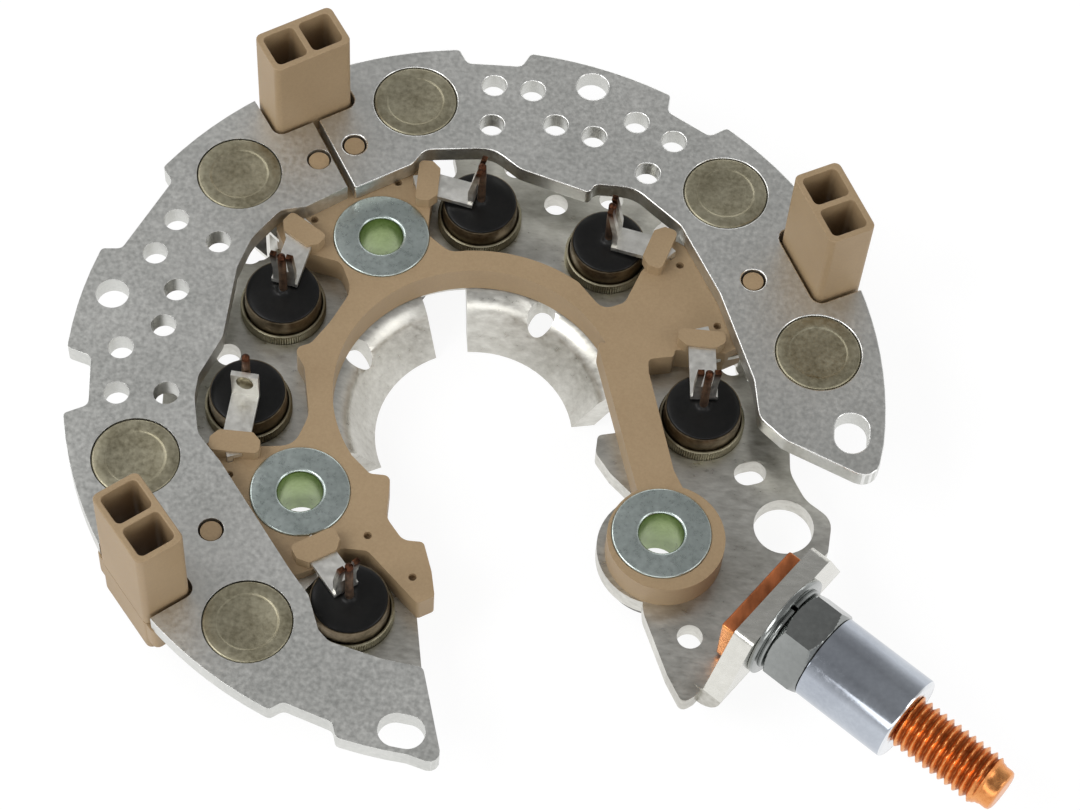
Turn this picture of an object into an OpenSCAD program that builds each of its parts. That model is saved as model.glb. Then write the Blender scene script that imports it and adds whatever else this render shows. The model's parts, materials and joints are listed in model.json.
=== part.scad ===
// Rectifier of a car alternator, in millimetres.
// The origin lies on the alternator's shaft axis, at the level of the skirts' feet, and Z points up.
// Two earth fins lie over a plus fin, with a moulded terminal block between them.

/* [Cooling fins] */
// Outer radius of the earth fins
earth_r = 59.7; // [59.3:0.1:60.5]
// Sheet thickness of the earth fins
earth_t = 3.2; // [2.6:0.1:3.8]
// Outer radius of the plus fin, under the earth fins
plus_r = 46; // [45.6:0.1:46.4]
// Sheet thickness of the plus fin
plus_t = 3; // [2.6:0.1:3.2]
// Height of the plus fin's upper face above the feet of its skirts
skirt_h = 8.5; // [8.2:0.1:10]
// Lean of the skirts from the vertical, in degrees
skirt_lean = 30; // [26:1:32]
// Bend radius of the skirts at their upper face
skirt_bend = 5; // [4.4:0.1:5.4]
// Width of the slit between the two earth fins
split_w = 1; // [0.6:0.1:1.4]
// Diameter of the small vent holes
vent_d = 3.7; // [3.2:0.1:4]
// Diameter of the two large vent holes
large_vent_d = 4.9; // [4.4:0.1:5.2]
// Width of the slotted fixing holes at the ends of the earth fins
slot_w = 5; // [4.5:0.1:5.4]
// Length of the slotted fixing holes
slot_l = 6.6; // [6:0.1:7]

/* [Diodes] */
// Diameter of the knurled diode base
diode_d = 12.8; // [12.4:0.1:13]
// Pitch radius of the earth diodes
earth_pitch = 50.5; // [50.2:0.1:50.8]
// Pitch radius of the five inner plus diodes
plus_pitch = 33.3; // [33:0.1:33.5]
// Pitch radius of the last plus diode
last_pitch = 38.2; // [37.9:0.1:38.4]
// Height of the knurled band that stands out of the fin
knurl_h = 1.9; // [1.6:0.1:2.2]
// Height of the diode's rim above the fin
cup_h = 4.6; // [4.2:0.1:4.8]
// Outer diameter of the diode's cup at its rim
cup_d = 11.2; // [10.8:0.1:11.4]
// Wall of the diode's cup
cup_wall = 0.35; // [0.3:0.05:0.5]
// Diameter of the diode's lead wire
lead_d = 1.3; // [1.1:0.1:1.4]
// Length of the plus diodes' leads above the resin
lead_l = 9.6; // [9:0.1:10.4]

/* [Terminal block] */
// Height of the block, which is the gap between the fins
block_t = 4.8; // [4.6:0.1:5.4]
// Inner radius of the block
block_in_r = 21; // [20.8:0.1:21.2]
// Height of the clamps above the block
clamp_h = 2.1; // [2:0.1:2.4]
// Width of the phase strips
strip_w = 4; // [3.6:0.1:4.2]
// Thickness of the phase strips
strip_t = 0.8; // [0.7:0.1:0.9]
// Height of the wire guides above the earth fins
guide_h = 15.5; // [14:0.5:17]
// Length of a wire guide along the rim
guide_l = 12.6; // [12:0.1:12.8]
// Width of a wire guide across the rim
guide_w = 7.4; // [7:0.1:7.6]
// Wall of the wire guides
guide_wall = 0.9; // [0.8:0.1:1.2]
// Clearance of the wire guides in their notches
guide_gap = 0.6; // [0.4:0.1:0.8]
// Diameter of the locating pegs
peg_d = 3.1; // [2.8:0.1:3.2]
// Clearance around a locating peg
peg_gap = 0.3; // [0.2:0.05:0.35]

/* [Mounting eyelets] */
// Bore of the eyelets, for an M6 bolt
eyelet_bore = 6.4; // [6.2:0.1:6.6]
// Wall of the eyelets' tube
eyelet_wall = 1.4; // [1.2:0.1:1.6]
// Diameter of the eyelets' flange
eyelet_flange_d = 14.4; // [14:0.1:14.6]
// Thickness of the eyelets' flange
eyelet_flange_t = 1; // [0.8:0.1:1.2]
// Pitch radius of the two inner eyelets
eyelet_pitch = 30.4; // [30.2:0.1:30.5]
// Pitch radius of the eyelet on the output side
outer_eyelet_pitch = 35; // [34.8:0.1:35.2]
// Diameter of the insulating washers under the plus fin
insulator_d = 15.6; // [15:0.1:16]
// Thickness of the insulating washers
insulator_t = 3.2; // [2.6:0.1:3.6]

/* [Output stud] */
// Thread diameter of the stud
stud_d = 8; // [7.8:0.1:8]
// Direction of the stud around the shaft axis, in degrees
stud_angle = -35.7; // [-36.2:0.1:-35.2]
// Distance from the shaft axis to the outer face of the flange
flange_s = 57; // [56.8:0.1:57.3]
// Sheet thickness of the flange
flange_t = 3.2; // [3:0.1:3.2]
// Height of the flange above the plus fin
flange_h = 10.4; // [10:0.1:11]
// Height of the stud's axis above the plus fin
stud_h = 5.2; // [5.1:0.1:5.5]
// Width of the stud's rectangular head
head_w = 15.5; // [15:0.1:16]
// Height of the stud's rectangular head
head_h = 9; // [8.6:0.1:9.2]
// Thickness of the stud's rectangular head
head_t = 2.2; // [2:0.1:2.6]
// Diameter of the washer under the nut
washer_d = 16; // [15:0.1:16.4]
// Thickness of the washer under the nut
washer_t = 1.5; // [1.2:0.1:1.8]
// Width of the hexagon across its flats
nut_af = 13; // [12.8:0.1:13.4]
// Length of the hexagon
nut_l = 6; // [5.4:0.1:7]
// Diameter of the nut's long sleeve
sleeve_d = 12.9; // [12.4:0.1:12.9]
// Length of the sleeve
sleeve_l = 14.6; // [13:0.1:16]
// Length of the stud beyond the sleeve
stud_out = 16.3; // [14:0.1:18]

/* [Hidden] */
$fn = 64;
eps = 0.01;
fit = 0.05;
round_steps = 4;

plus_top = skirt_h;
plus_under = plus_top - plus_t;
earth_under = plus_top + block_t;
earth_top = earth_under + earth_t;
skirt_start_r = eyelet_pitch - insulator_d / 2;

// Angles of the earth diodes
earth_angles = [106, 47.1, 11.8, 140.4, 200.7, 236.2];
// Angle and pitch of the plus diodes, in the same order
plus_places = [
    [94.2, plus_pitch], [58.5, plus_pitch], [1.9, plus_pitch],
    [155, plus_pitch], [186, plus_pitch], [247.4, last_pitch]
];
// Angle and pitch of the mounting eyelets
eyelet_places = [[123.3, eyelet_pitch], [219.1, eyelet_pitch], [stud_angle, outer_eyelet_pitch]];

guide_angles = [123.3, 28.3, 219.3];
guide_r = 56;
guide_foot = 2.5;
peg_places = [[119.5, 45.3], [127.1, 45.3], [29.1, 45.0], [218.9, 45.0]];
peg_sink = 0.4;
split_point = [-21.8, 31.4];
split_angle = 120.3;

vent_places = [
    [-2.2, 52.9], [3.8, 52.6], [-1.9, 45.5], [7.8, 46.6], [13.8, 45.1], [20.1, 48.5],
    [26, 45.6], [22.4, 39.3], [-47.1, 22.9], [-49.4, 16.7], [-40.4, 19.7], [-45.4, 10.7],
    [-46.4, 4.4], [-52, 0], [-51.5, -7.6], [-44.4, -6.9]
];
large_vent_places = [[12.9, 54.4], [-54.6, 9]];
// Place and long direction of the fixing slots
slot_places = [[54.8, -2.8, 90], [-5.2, -56.2, -6]];

// Recesses in the earth fins' rim: first angle, last angle, radius of the floor
rim_recesses = [
    [55.3, 65.2, 56.8], [87.2, 97.8, 57.1], [147.6, 163.8, 57], [180.8, 191.4, 56.1],
    [246.8, 256.4, 57.8]
];
// Inner edge of the earth fins, from the left end round to the right end: x, y, corner radius
earth_inner = [
    [1, -61, 3.6], [-3.2, -46.4, 1], [-9, -45.7, 4], [-16.6, -43.8, 2.5], [-18.2, -42.2, 1.5],
    [-20.2, -37, 2], [-23.2, -33.4, 4], [-35.2, -17.2, 3], [-39, -13, 4], [-40.3, -7, 5],
    [-40.2, -3.4, 3], [-37.6, 3.4, 3], [-37.1, 15.5, 4], [-35.6, 21, 8], [-31.9, 26.4, 2.5],
    [-28.2, 27.4, 2], [-22.6, 31.6, 0.5], [-21, 31.8, 0.8], [-13.2, 36.9, 2], [-11.6, 39.8, 2.5],
    [-1.5, 41.2, 5], [3, 37.9, 3], [13.9, 34.7, 0.8], [14.6, 36.4, 1.5], [20.5, 36.4, 5],
    [27.9, 30.4, 1.5], [34.4, 19, 6], [40.2, 4.6, 5], [41.2, -1.6, 3], [45, -4.9, 4],
    [58.6, -10.6, 3.4]
];

// Mouth of the plus fin, cut out of its ring: x, y, corner radius
plus_mouth = [
    [-14.5, -15, 2], [-12.6, -21.5, 3], [-7.5, -27, 2], [-5.4, -33.5, 2], [-3, -46.5, 0],
    [-3, -62, 0], [62, -62, 0], [62, -1, 0], [20, -1, 0], [0, 0, 0]
];
// Lobe of the plus fin that carries the output stud, as far as the flange's bend
plus_lobe = [
    [34, 1.5, 0], [46.4, 1.5, 0], [46.9, -6, 5], [49.3, -10.2, 5], [53.3, -13, 3], [52.9, -18.4, 0.6],
    [34.9, -43.2, 0.6], [33.2, -44.4, 3], [30.8, -40.2, 2], [26.9, -31, 3], [24.4, -12.3, 2],
    [20.6, -8.8, 3], [18.2, -5.6, 1.5], [18.3, -2.6, 0.8]
];
lobe_hole = [46.3, -14.9];
lobe_hole_d = 8.8;
lobe_slot = [41, -6.6];
lobe_small_hole = [33.7, -34];
// Round vents of the plus fin, and the relief holes in the bend of its skirts
plus_vents = [[9, 37.3], [-37.3, 5.2], [37.4, 11.6], [2.3, 43.4], [17.4, 39.2], [-36.4, 23.2]];
relief_places = [[64.6, 19.5], [156.3, 20]];
relief_d = 4.2;
// First and last angle of each skirt
skirt_spans = [[12.5, 99], [118, 207]];
// Notches in the rim of the plus fin that let the phase strips pass down
notch_shift = [-2, 2, -2.5, 2.5, -2, 2];
notch_w = 8.6;
notch_floor = 40.6;

// Outline of the terminal block: x, y, corner radius
block_ring = [
    [17, 10.4, 3], [24.4, -13.4, 0.5], [26, -17, 0], [32, -14.5, 0], [29.6, -10, 2], [24.9, 6.2, 1],
    [24.7, 8.4, 0.8], [28.4, 9.2, 0.5], [28.6, 10.4, 0.3], [36, 10.6, 0.5], [38.6, 12.2, 0.6],
    [37.2, 16.2, 0.8], [41, 18.2, 2], [47, 17.6, 1], [56.2, 21.2, 1], [48.6, 35.2, 1], [42.2, 32, 2],
    [36.4, 28, 4], [31.8, 27.4, 1.5], [29.8, 28.2, 1], [27.2, 29.8, 1], [22.7, 23.6, 0.5],
    [20.6, 17.8, 1.6], [17.4, 16.2, 2]
];
block_crown = [
    [-6.2, 23.8, 4], [-9.9, 26.6, 2], [-9.9, 31.6, 1], [-9.5, 39.6, 1], [-16.6, 38.4, 1.5],
    [-19, 42.2, 3], [-26, 54.1, 1], [-39.4, 45.3, 1], [-31.6, 34.2, 2], [-31.4, 30.4, 2],
    [-32.6, 25.2, 1.5], [-30.9, 22, 0.4], [-25.2, 20.8, 0.6], [-22.2, 20.2, 2], [-20, 15.5, 4],
    [-22.6, 9.6, 6], [-25, 5.6, 2], [-27.4, 4.6, 1.2], [-25.4, 1.4, 2], [-23.8, -6.5, 5],
    [-25.4, -11.8, 3], [-30, -12.4, 1], [-36.8, -11.6, 0.6], [-38.4, -13.4, 1], [-36.6, -18.4, 1],
    [-38, -21.6, 2], [-51.1, -31.5, 1], [-41, -43.9, 1], [-28.6, -32.6, 2], [-26.2, -31.2, 1],
    [-22.8, -32.6, 0.8], [-20.4, -31.4, 0.6], [-16.6, -27.6, 1], [-13, -27.6, 1.5],
    [-5.1, -35.2, 0.6], [-2.8, -33.8, 0.6], [-3.6, -30, 3], [-5.2, -25.4, 0.8], [-8.2, -25.4, 2],
    [-10.9, -22, 3], [-11, -15.2, 1], [-14, -15.2, 1.2], [-17, -12.4, 1]
];
block_neck_r = 24.6;
boss_shift = 0.9;
boss_r = 8.5;

// Levels of the strips inside the block, and where they turn down at its rim
strip_z = earth_under + 0.8;
tab_gap = 0.8;
// Height of each strip's upright tab, and of its web below the fork; a short tab has no fork
tab_heights = [8.8, 8.8, 8.8, 8.8, 5.5, 8.8];
tab_web = 3.2;
tab_lean = 1.2;
fork_gap = 1.5;
prong_w = 0.95;
drop_z = earth_under - 2.6;
drop_r = 42.3;
tail_z = earth_under - cup_h - 5.9;

resin_dome = 0.9;
earth_lead_l = 6;
spigot_d = eyelet_bore + 2 * eyelet_wall + 3.2;
// Small round dimples in the block's upper face
dimple_places = [
    [-15.2, 35.4], [-27, 27.3], [-34, -17.5], [-13.2, -25.2], [-6.2, -31.1], [28.4, 25.3], [34.6, 15.2]
];
dimple_d = 1.2;
dimple_depth = 1.2;

// Clamps on the block, in the diodes' order: place, long direction, length and width
clamps = [
    [[-10.6, 34.9], 90, 7.2, 3.3], [[25, 26.9], 73, 7.4, 3.4], [[32.3, 11.6], 0, 7, 2.8],
    [[-28.4, 23.8], -33, 6.8, 3.4], [[-33.7, -13.1], 0, 7.3, 3.4], [[-20, -28.7], 33, 6.8, 3.6]
];

stud_z = plus_top + stud_h;
bend_out = flange_t + 0.4;
nut_face = flange_s + washer_t;
sleeve_face = nut_face + nut_l;
sleeve_end = sleeve_face + sleeve_l;
shank_d = stud_d - 0.6;
stud_end = sleeve_end + stud_out;
tip_l = 2.2;
tip_d = 6.4;

function polar(r, a) = [r * cos(a), r * sin(a)];
function unit(v) = v / norm(v);
function flat(p) = [p[0], p[1]];

// Points along a round stretch, with sharp corners
function arc(r, from, to, step = 3) =
    let (n = max(1, ceil(abs(to - from) / step)))
    [for (k = [0:n]) let (a = from + (to - from) * k / n) [r * cos(a), r * sin(a), 0]];

// One corner of an outline, rounded as far as its two sides allow
function corner(before, at, after) =
    let (
        p = flat(at), u = unit(flat(before) - p), w = unit(flat(after) - p),
        half = acos(max(-1, min(1, u * w))) / 2,
        room = 0.48 * min(norm(flat(before) - p), norm(flat(after) - p)),
        d = at[2] <= 0 || half > 88 ? 0 : min(at[2] / tan(half), room)
    )
    d <= 0.02 ? [p] :
    let (
        r = d * tan(half), centre = p + unit(u + w) * r / sin(half),
        v0 = p + u * d - centre, v1 = p + w * d - centre,
        a0 = atan2(v0[1], v0[0]), turn = atan2(v0[0] * v1[1] - v0[1] * v1[0], v0 * v1)
    )
    [for (k = [0:round_steps]) centre + polar(r, a0 + turn * k / round_steps)];

module outline(points) {
    n = len(points);
    polygon([for (k = [0:n - 1]) each corner(points[(k + n - 1) % n], points[k], points[(k + 1) % n])]);
}

// Rectangle with rounded corners, centred
module pad(l, w, r) {
    x = l / 2;
    y = w / 2;
    outline([[x, y, r], [-x, y, r], [-x, -y, r], [x, -y, r]]);
}

module slot(l, w) {
    square([l - w, w], center = true);
    for (side = [-1, 1]) translate([side * (l - w) / 2, 0]) circle(d = w);
}

module at_polar(a, r) {
    rotate(a) translate([r, 0, 0]) children();
}

// Earth fins

// One recess in the rim, with shoulders a little apart from its floor
function recess(span) = [
    [each polar(earth_r, span[0]), 0.9], [each polar(span[2], span[0] + 1.1), 1.2],
    [each polar(span[2], span[1] - 1.1), 1.2], [each polar(earth_r, span[1]), 0.9]
];

function rim_points() = [
    for (k = [0:len(rim_recesses)])
        each concat(
            arc(earth_r, k == 0 ? -4 : rim_recesses[k - 1][1] + 1,
                k == len(rim_recesses) ? 266 : rim_recesses[k][0] - 1),
            k == len(rim_recesses) ? [] : recess(rim_recesses[k])
        )
];

module earth_plan() {
    difference() {
        outline(concat(rim_points(), earth_inner));
        for (a = guide_angles)
            at_polar(a, guide_r) translate([3, 0]) pad(guide_w + 2 * guide_gap + 6, guide_l + 2 * guide_gap, 1.6);
        for (p = vent_places) translate(p) circle(d = vent_d);
        for (p = large_vent_places) translate(p) circle(d = large_vent_d);
        for (p = slot_places) translate([p[0], p[1]]) rotate(p[2]) slot(slot_l, slot_w);
        for (p = peg_places) at_polar(p[0], p[1]) circle(d = peg_d + 2 * peg_gap);
        for (a = earth_angles) at_polar(a, earth_pitch) circle(d = diode_d);
    }
}

// Everything on one side of the slit between the two fins
module split_side(side) {
    translate(split_point) rotate(split_angle - 90)
        translate([side > 0 ? split_w / 2 : -150 - split_w / 2, -120]) square([150, 240]);
}

module earth_fin(side) {
    color([0.66, 0.68, 0.69])
        translate([0, 0, earth_under]) linear_extrude(earth_t) intersection() {
            earth_plan();
            split_side(side);
        }
}

// Plus fin

module plus_plan() {
    difference() {
        union() {
            difference() {
                circle(r = plus_r, $fn = 180);
                circle(r = skirt_start_r, $fn = 120);
                outline(plus_mouth);
            }
            outline(plus_lobe);
            at_polar(eyelet_places[2][0], eyelet_places[2][1]) circle(r = boss_r + 0.5);
        }
        for (p = plus_places) at_polar(p[0], p[1]) circle(d = diode_d);
        for (p = eyelet_places) at_polar(p[0], p[1]) circle(d = spigot_d);
        for (p = plus_vents) translate(p) circle(d = vent_d);
        for (k = [0:5])
            at_polar(clamp_angle(k) + notch_shift[k], notch_floor + 5) pad(10, notch_w, 2);
        translate(lobe_hole) circle(d = lobe_hole_d);
        translate(lobe_slot) rotate(20) slot(4.8, 3.7);
        translate(lobe_small_hole) circle(d = vent_d);
    }
}

// Section of a skirt, from the flat of the fin down to its foot
function skirt_section() =
    let (
        turn = 90 - skirt_lean, centre_z = plus_top - skirt_bend, inner_bend = skirt_bend - plus_t,
        top = [skirt_start_r - skirt_bend * sin(turn), centre_z + skirt_bend * cos(turn)],
        low = [skirt_start_r - inner_bend * sin(turn), centre_z + inner_bend * cos(turn)]
    )
    concat(
        [for (a = [0:turn / 6:turn]) [skirt_start_r - skirt_bend * sin(a), centre_z + skirt_bend * cos(a)]],
        [[top[0] - top[1] * tan(skirt_lean), 0], [low[0] - low[1] * tan(skirt_lean), 0]],
        [for (a = [turn:-turn / 3:0]) [skirt_start_r - inner_bend * sin(a), centre_z + inner_bend * cos(a)]],
        [[skirt_start_r + 0.4, plus_under], [skirt_start_r + 0.4, plus_top]]
    );

module skirts() {
    difference() {
        for (span = skirt_spans)
            rotate(span[0]) rotate_extrude(angle = span[1] - span[0], $fn = 120) polygon(skirt_section());
        for (p = relief_places) at_polar(p[0], p[1]) translate([0, 0, -1]) cylinder(d = relief_d, h = plus_top + 2);
    }
}

// Section of the flange: x runs out from the shaft axis, y up
function flange_section() =
    let (in_r = bend_out - flange_t, s0 = flange_s - bend_out, z0 = plus_under + bend_out)
    concat(
        [[s0 - 1, plus_under]],
        [for (a = [-90:15:0]) [s0, z0] + polar(bend_out, a)],
        [[flange_s, plus_top + flange_h], [flange_s - flange_t, plus_top + flange_h]],
        [for (a = [0:-30:-90]) [s0, z0] + polar(in_r, a)],
        [[s0 - 1, plus_under + flange_t]]
    );

module flange() {
    low = -14;
    high = 16;
    rotate(stud_angle) difference() {
        intersection() {
            rotate([90, 0, 0]) translate([0, 0, -high]) linear_extrude(high - low) polygon(flange_section());
            rotate([90, 0, 90]) linear_extrude(80)
                outline([
                    [low, plus_under - 1, 0], [high, plus_under - 1, 0], [high - 1.4, plus_top, 2],
                    [10, plus_top + flange_h, 1.2], [-7.6, plus_top + flange_h, 1.2], [low + 0.6, plus_top, 2]
                ]);
        }
        translate([flange_s - 10, 0, stud_z]) rotate([0, 90, 0]) cylinder(d = stud_d + 0.4, h = 20);
    }
}

module plus_fin() {
    color([0.74, 0.73, 0.7]) union() {
        translate([0, 0, plus_under]) linear_extrude(plus_t) plus_plan();
        skirts();
        flange();
    }
}

// Diodes, drawn upright on a fin whose outer face lies at z = 0 and whose inner face at z = t

module diode_case(t) {
    cup_r = cup_d / 2;
    band = t + knurl_h;
    color([0.47, 0.44, 0.36]) rotate_extrude() polygon([
        [0, 0], [diode_d / 2 - 0.3, 0], [diode_d / 2, 0.3], [diode_d / 2, band - 0.25],
        [diode_d / 2 - 0.25, band], [cup_r + 0.35, band], [cup_r + 0.15, band - 0.6],
        [cup_r + 0.15, band + 0.4], [cup_r, t + cup_h], [cup_r - cup_wall, t + cup_h],
        [cup_r - cup_wall, band - 0.6], [0, band - 0.6]
    ]);
}

module diode_resin(t) {
    base = t + knurl_h - 0.6;
    r = cup_d / 2 - cup_wall;
    color([0.1, 0.1, 0.1]) rotate_extrude() polygon(concat(
        [[lead_d / 2, base], [r, base], [r, t + cup_h - 0.3]],
        [for (a = [15:15:75]) [r * cos(a), t + cup_h - 0.3 + resin_dome * sin(a)]],
        [[lead_d / 2, t + cup_h - 0.3 + resin_dome]]
    ));
}

module diode_lead(t, l) {
    base = t + knurl_h - 0.6;
    color([0.42, 0.3, 0.22]) translate([0, 0, base])
        cylinder(d = lead_d, h = t + cup_h - 0.3 + resin_dome + l - base, $fn = 24);
}

module on_plus(k) {
    at_polar(plus_places[k][0], plus_places[k][1]) translate([0, 0, plus_under]) children();
}

module on_earth(k) {
    at_polar(earth_angles[k], earth_pitch) translate([0, 0, earth_top]) mirror([0, 0, 1]) children();
}

// Terminal block

function clamp_place(k) = clamps[k][0];
function clamp_angle(k) = atan2(clamp_place(k)[1], clamp_place(k)[0]);
function plus_place(k) = polar(plus_places[k][1], plus_places[k][0]);

// Direction and length of the reach from a clamp to its plus diode
function strip_way(k) = plus_place(k) - clamp_place(k);
function strip_turn(k) = atan2(strip_way(k)[1], strip_way(k)[0]);

// Side of the run that leads from the clamp down past the plus fin's rim: x along the radius, y up
function run_side(stem_r, g) = [
    [stem_r - g, strip_z + strip_t / 2], [stem_r + strip_t + g, strip_z + strip_t / 2],
    [stem_r + strip_t + g, drop_z + strip_t + g], [drop_r + strip_t + g, drop_z + strip_t + g],
    [drop_r + strip_t + g, tail_z + strip_t / 2], [drop_r - g, tail_z + strip_t / 2],
    [drop_r - g, drop_z - g], [stem_r - g, drop_z - g]
];

// One phase strip, grown by g on all sides where it passes through the block
module phase_strip(k, g = 0) {
    way = norm(strip_way(k));
    stem_r = norm(clamp_place(k)) + 0.8;
    w = strip_w + 2 * g;
    color([0.78, 0.78, 0.76]) {
        translate([0, 0, strip_z - g]) linear_extrude(strip_t + 2 * g) {
            translate(clamp_place(k)) rotate(strip_turn(k)) translate([-0.4, -w / 2]) square([way - tab_gap + 0.4, w]);
            rotate(clamp_angle(k)) translate([stem_r - 1.8, -w / 2]) square([1.8 + strip_t + g, w]);
        }
        rotate(clamp_angle(k)) translate([0, w / 2, 0]) rotate([90, 0, 0]) linear_extrude(w)
            polygon(run_side(stem_r, g));
        if (g == 0) {
            translate([each clamp_place(k), strip_z + strip_t / 2]) rotate(strip_turn(k))
                translate([way - tab_gap - strip_t, 0, 0]) strip_tab(tab_heights[k]);
            strip_tail(k);
        }
    }
}

// The upright tab beside the plus diode's lead: a tall one forks and leans, with the lead between its prongs
module strip_tab(h) {
    forked = h > 2 * tab_web;
    w = forked ? fork_gap + 2 * prong_w : strip_w;
    side = forked ?
        [[0, 0], [strip_t, 0], [strip_t, tab_web], [strip_t + tab_lean, h], [tab_lean, h], [0, tab_web]] :
        [[0, 0], [strip_t, 0], [strip_t, h], [0, h]];
    difference() {
        translate([0, w / 2, 0]) rotate([90, 0, 0]) linear_extrude(w) polygon(side);
        if (forked)
            translate([-1, -fork_gap / 2, tab_web + 0.1]) cube([strip_t + tab_lean + 2, fork_gap, h]);
    }
}

// The tail runs out under the plus fin's rim to the earth diode's lead
module strip_tail(k) {
    lead = polar(earth_pitch, earth_angles[k]);
    start = polar(drop_r + strip_t / 2, clamp_angle(k));
    way = lead - start;
    translate([0, 0, tail_z]) linear_extrude(strip_t) difference() {
        union() {
            rotate(clamp_angle(k)) translate([drop_r, -strip_w / 2]) square([strip_t, strip_w]);
            translate(start) rotate(atan2(way[1], way[0])) translate([0, -strip_w / 2])
                square([norm(way) + 1.8, strip_w]);
            translate(start) circle(d = strip_w - 0.3, $fn = 24);
        }
        translate(lead) circle(d = lead_d + 2 * fit, $fn = 24);
    }
}

// Outline of a wire guide
module guide_plan() {
    pad(guide_w, guide_l, 1);
}

// The two cells that run through a wire guide
module guide_cells() {
    cell = (guide_l - 3 * guide_wall) / 2;
    for (side = [-1, 1])
        translate([0, side * (cell + guide_wall) / 2]) pad(guide_w - 2 * guide_wall, cell, 0.8);
}

// The part of a wire guide above the block; its foot belongs to the block
module wire_guide(k) {
    color([0.64, 0.53, 0.41]) at_polar(guide_angles[k], guide_r) translate([0, 0, earth_under])
        linear_extrude(earth_t + guide_h) difference() {
            guide_plan();
            guide_cells();
        }
}

module clamp(k) {
    l = clamps[k][2] / 2;
    w = clamps[k][3] / 2;
    side = sin(strip_turn(k) - clamps[k][1]) > 0 ? 1 : -1;
    translate([each clamp_place(k), earth_under - eps]) rotate(clamps[k][1]) scale([1, side, 1])
        linear_extrude(clamp_h + eps)
            outline([
                [l, 0.4, 0.4], [l - 1.2, w, 0.5], [-l + 1.2, w, 0.5], [-l, 0.4, 0.4],
                [-l, -w, 0.8], [l, -w, 0.8]
            ]);
}

module boss() {
    at_polar(stud_angle, outer_eyelet_pitch + boss_shift) cylinder(r = boss_r, h = block_t);
}

module terminal_block() {
    color([0.64, 0.53, 0.41]) difference() {
        union() {
            translate([0, 0, plus_top]) linear_extrude(block_t) {
                outline(concat(
                    [for (a = [216:-3:30]) [each polar(block_in_r, a), 0]],
                    block_ring,
                    [for (a = [57:3:99]) [each polar(block_neck_r, a), 0]],
                    block_crown
                ));
                for (a = guide_angles) at_polar(a, guide_r) guide_plan();
            }
            translate([0, 0, plus_top]) boss();
            for (p = eyelet_places)
                at_polar(p[0], p[1]) translate([0, 0, plus_under]) cylinder(d = spigot_d, h = plus_t + eps);
            for (a = guide_angles)
                at_polar(a, guide_r) translate([0, 0, plus_top - guide_foot]) linear_extrude(guide_foot + eps) guide_plan();
            for (p = peg_places)
                at_polar(p[0], p[1]) translate([0, 0, earth_under - eps])
                    cylinder(d = peg_d, h = earth_t - peg_sink + eps);
            for (k = [0:5]) clamp(k);
        }
        for (a = guide_angles) at_polar(a, guide_r) linear_extrude(earth_top) guide_cells();
        for (p = eyelet_places) at_polar(p[0], p[1]) translate([0, 0, plus_under - 1]) {
            cylinder(d = eyelet_bore + 2 * eyelet_wall, h = plus_t + block_t + 3);
            translate([0, 0, 1 + plus_t + block_t - eyelet_flange_t + 0.3]) cylinder(d = eyelet_flange_d + 2 * fit, h = 4);
        }
        for (k = [0:5]) phase_strip(k, fit);
        for (p = dimple_places)
            translate([p[0], p[1], earth_under - dimple_depth]) cylinder(d = dimple_d, h = clamp_h, $fn = 20);
    }
}

// Mounting eyelets

module eyelet(k) {
    r = eyelet_bore / 2;
    top = earth_under + 0.3;
    foot = plus_under - insulator_t;
    color([0.62, 0.66, 0.7]) at_polar(eyelet_places[k][0], eyelet_places[k][1]) rotate_extrude() polygon([
        [r, foot], [r + eyelet_wall, foot], [r + eyelet_wall, top - eyelet_flange_t],
        [eyelet_flange_d / 2, top - eyelet_flange_t], [eyelet_flange_d / 2, top - 0.15],
        [eyelet_flange_d / 2 - 0.15, top], [r + 0.3, top], [r, top - 0.3]
    ]);
}

module insulator(k) {
    color([0.42, 0.4, 0.38]) at_polar(eyelet_places[k][0], eyelet_places[k][1])
        translate([0, 0, plus_under - insulator_t]) difference() {
            cylinder(d = insulator_d, h = insulator_t);
            translate([0, 0, -1]) cylinder(d = eyelet_bore + 2 * eyelet_wall, h = insulator_t + 2);
        }
}

// Output stud, drawn along X from the shaft axis

module along_stud() {
    translate([0, 0, stud_z]) rotate([0, 0, stud_angle]) rotate([0, 90, 0]) children();
}

module output_stud() {
    back = flange_s - flange_t;
    color([0.78, 0.46, 0.24]) along_stud() union() {
        translate([0, 0, back - head_t]) linear_extrude(head_t) square([head_h, head_w], center = true);
        translate([0, 0, back - eps]) cylinder(d = shank_d, h = sleeve_end - back + eps);
        translate([0, 0, sleeve_end]) cylinder(d = stud_d, h = stud_end - tip_l - 0.8 - sleeve_end);
        translate([0, 0, stud_end - tip_l - 0.8]) cylinder(d1 = stud_d, d2 = tip_d, h = 0.8);
        translate([0, 0, stud_end - tip_l - eps]) cylinder(d = tip_d, h = tip_l + eps);
    }
}

module stud_washer() {
    color([0.7, 0.73, 0.76]) along_stud() translate([0, 0, flange_s]) difference() {
        cylinder(d = washer_d, h = washer_t);
        translate([0, 0, -1]) cylinder(d = stud_d + 0.4, h = washer_t + 2);
    }
}

module sleeve_nut() {
    corner_r = nut_af / 2 / cos(30);
    color([0.6, 0.64, 0.68]) along_stud() difference() {
        union() {
            translate([0, 0, nut_face]) intersection() {
                rotate(30) cylinder(r = corner_r, h = nut_l, $fn = 6);
                rotate_extrude() polygon([
                    [0, 0], [nut_af / 2, 0], [corner_r, 0.6], [corner_r, nut_l - 0.6],
                    [nut_af / 2, nut_l], [0, nut_l]
                ]);
            }
            translate([0, 0, sleeve_face - eps]) cylinder(d = sleeve_d, h = sleeve_l + eps);
        }
        translate([0, 0, nut_face - 1]) cylinder(d = shank_d, h = nut_l + sleeve_l + 2);
    }
}

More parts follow.
